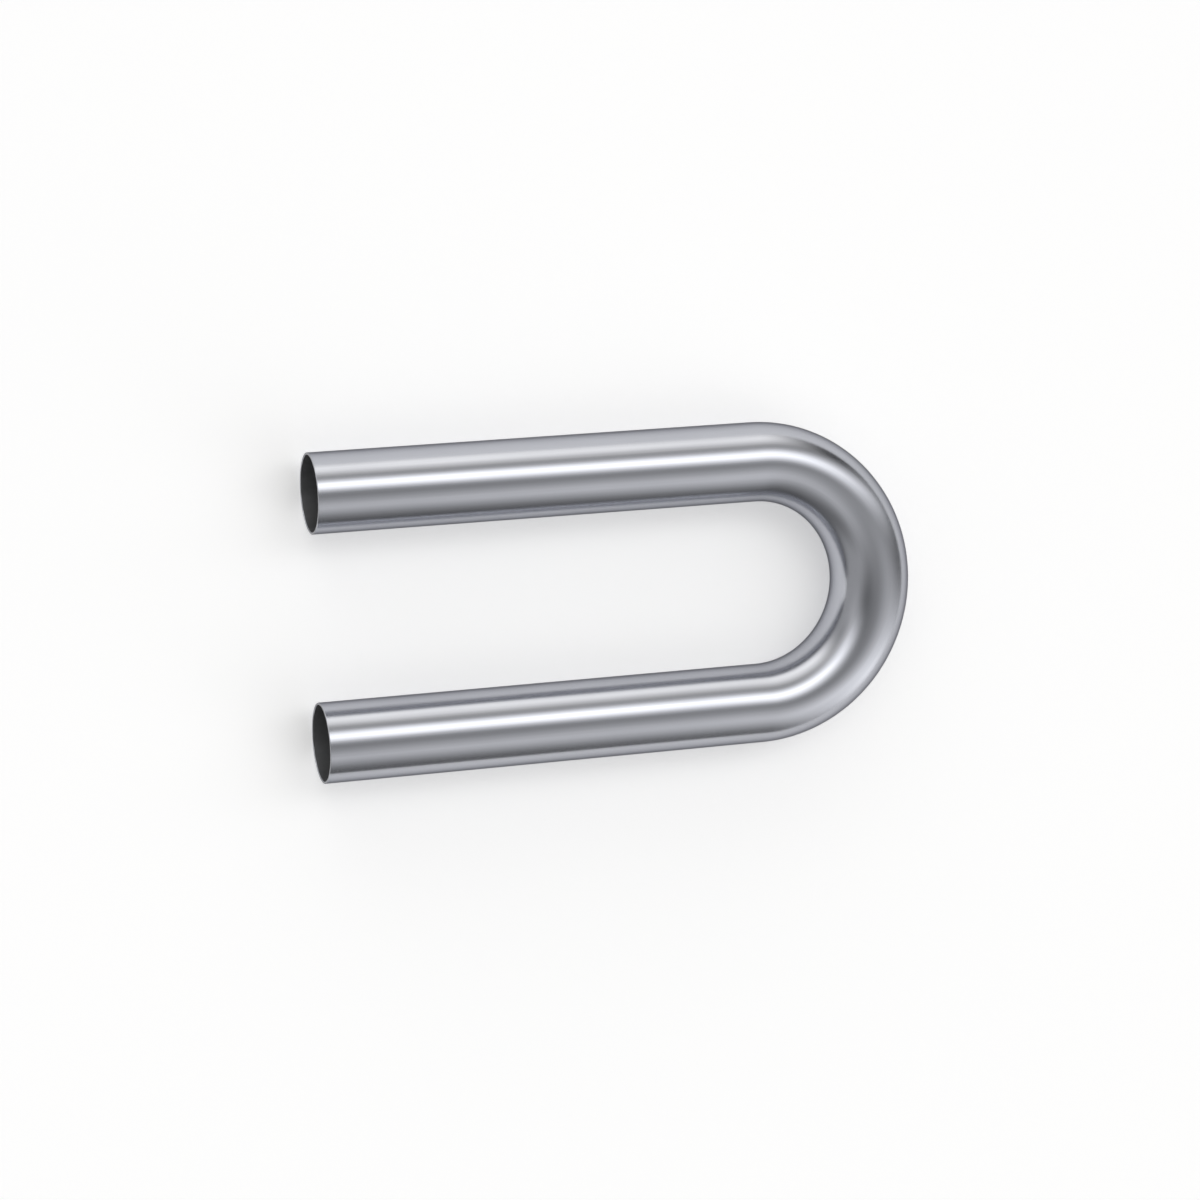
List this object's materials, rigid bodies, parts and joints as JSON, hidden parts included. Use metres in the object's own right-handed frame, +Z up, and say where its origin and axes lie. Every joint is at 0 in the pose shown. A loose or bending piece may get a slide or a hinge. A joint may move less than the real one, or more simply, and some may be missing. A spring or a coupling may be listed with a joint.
{
  "type": "return bend",
  "caption": "Thin-walled round steel tube bent through a half turn, with long straight parallel legs and plain square-cut open ends.",
  "frame": {"origin": "on the surface that the bend lies on, under the middle of its bounding box", "axes": "+X along the legs, from the open ends to the bend; +Y across the two legs; +Z up, square to the plane of the bend"},
  "size_m": [0.5024, 0.265, 0.065],
  "materials": {
    "bare_steel": "bright satin, bare metal"
  },
  "bodies": {
    "root": {"bent_tube": "bare_steel"}
  },
  "joints": []
}
